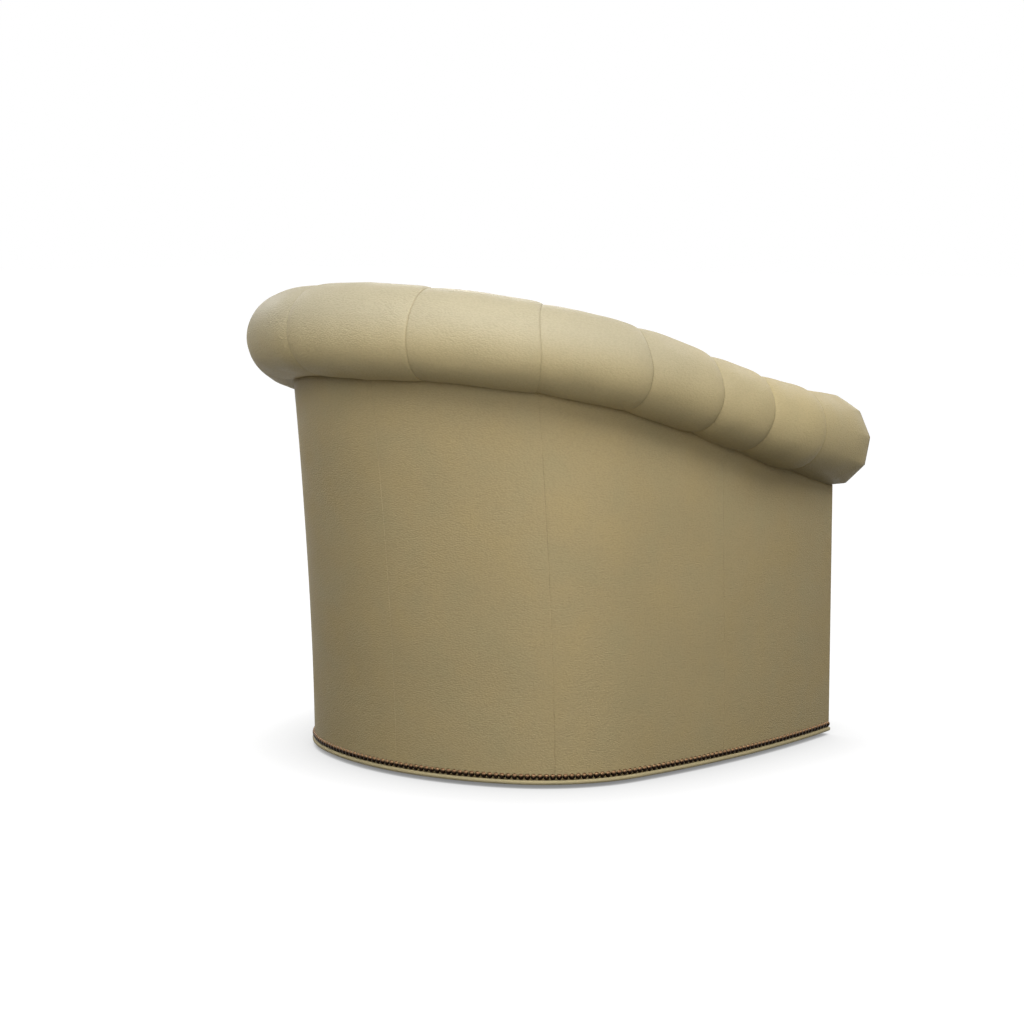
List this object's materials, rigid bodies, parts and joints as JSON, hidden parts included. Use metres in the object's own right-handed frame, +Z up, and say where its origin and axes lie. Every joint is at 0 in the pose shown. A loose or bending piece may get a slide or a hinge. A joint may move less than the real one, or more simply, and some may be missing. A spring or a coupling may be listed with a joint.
{
  "type": "swivel tub chair",
  "caption": "Leather tub chair on a hidden swivel disc, with a puffed roll along its falling top edge, scrolled arm fronts, nail trim and a loose seat cushion.",
  "frame": {"origin": "on the swivel axis, on the floor under the base disc", "axes": "+Z up along the swivel axis, -Y towards the chair's front, -X towards the sitter's right"},
  "size_m": [0.8876, 0.8152, 0.7543],
  "materials": {
    "leather": "khaki tan pebbled leather, semi-gloss",
    "welt_leather": "tan leather over cord",
    "nail_metal": "antiqued bronze, domed",
    "base_wood": "dark stained",
    "frame_wood": "unfinished hardwood and plywood",
    "plate_steel": "zinc plated",
    "fastener_steel": "zinc plated",
    "ball_steel": "polished",
    "spring_steel": "plain wire",
    "cage_brass": "plain",
    "glides": "matt",
    "dark_cloth": "thin non-woven cloth",
    "webbing": "woven jute"
  },
  "bodies": {
    "base": {"floor_glides": "glides", "base_disc": "base_wood", "lower_race": "plate_steel", "race_screws": "fastener_steel", "pivot_bolt": "fastener_steel", "pivot_washer": "fastener_steel", "pivot_nut": "fastener_steel"},
    "ball_ring": {"ball_cage": "cage_brass", "bearing_balls": "ball_steel"},
    "chair": {"swivel_plate": "plate_steel", "plate_screws": "fastener_steel", "bottom_board": "frame_wood", "bottom_rail": "frame_wood", "front_rail": "frame_wood", "back_posts": "frame_wood", "side_posts": "frame_wood", "front_posts": "frame_wood", "top_rail": "frame_wood", "arm_rail_right": "frame_wood", "arm_rail_left": "frame_wood", "seat_rail_back": "frame_wood", "seat_rail_right": "frame_wood", "seat_rail_left": "frame_wood", "seat_rail_front": "frame_wood", "corner_blocks": "frame_wood", "seat_springs": "spring_steel", "spring_clips": "fastener_steel", "seat_deck": "dark_cloth", "wall_webbing": "webbing", "inside_back": "leather", "inside_arm_right": "leather", "inside_arm_left": "leather", "roll_back": "leather", "roll_right_1": "leather", "roll_right_2": "leather", "roll_right_3": "leather", "roll_right_4": "leather", "roll_right_5": "leather", "roll_left_1": "leather", "roll_left_2": "leather", "roll_left_3": "leather", "roll_left_4": "leather", "roll_left_5": "leather", "roll_front_right": "leather", "roll_front_left": "leather", "scroll_face_right": "leather", "scroll_face_left": "leather", "scroll_buttons": "leather", "outside_back_right": "leather", "outside_back_left": "leather", "outside_side_right": "leather", "outside_side_left": "leather", "outside_arm_right": "leather", "outside_arm_left": "leather", "arm_facings": "leather", "front_panel": "leather", "nail_trim": "nail_metal", "bottom_welt": "welt_leather", "dust_cover": "dark_cloth"},
    "cushion": {"seat_cushion": "leather"}
  },
  "joints": [
    {"name": "swivel", "type": "hinge", "parent": "base", "child": "chair", "pos_m": [0, 0, 0.03], "axis": [0, 0, 1], "continuous": true},
    {"name": "ball_ring_turn", "type": "hinge", "parent": "base", "child": "ball_ring", "pos_m": [0, 0, 0.03], "axis": [0, 0, 1], "continuous": true},
    {"name": "cushion_lift", "type": "slide", "parent": "chair", "child": "cushion", "axis": [0, 0, 1], "range_m": [0, 0.15]}
  ],
  "couplings": [
    {"joint": "ball_ring_turn", "follows": "swivel", "ratio": 0.5}
  ]
}
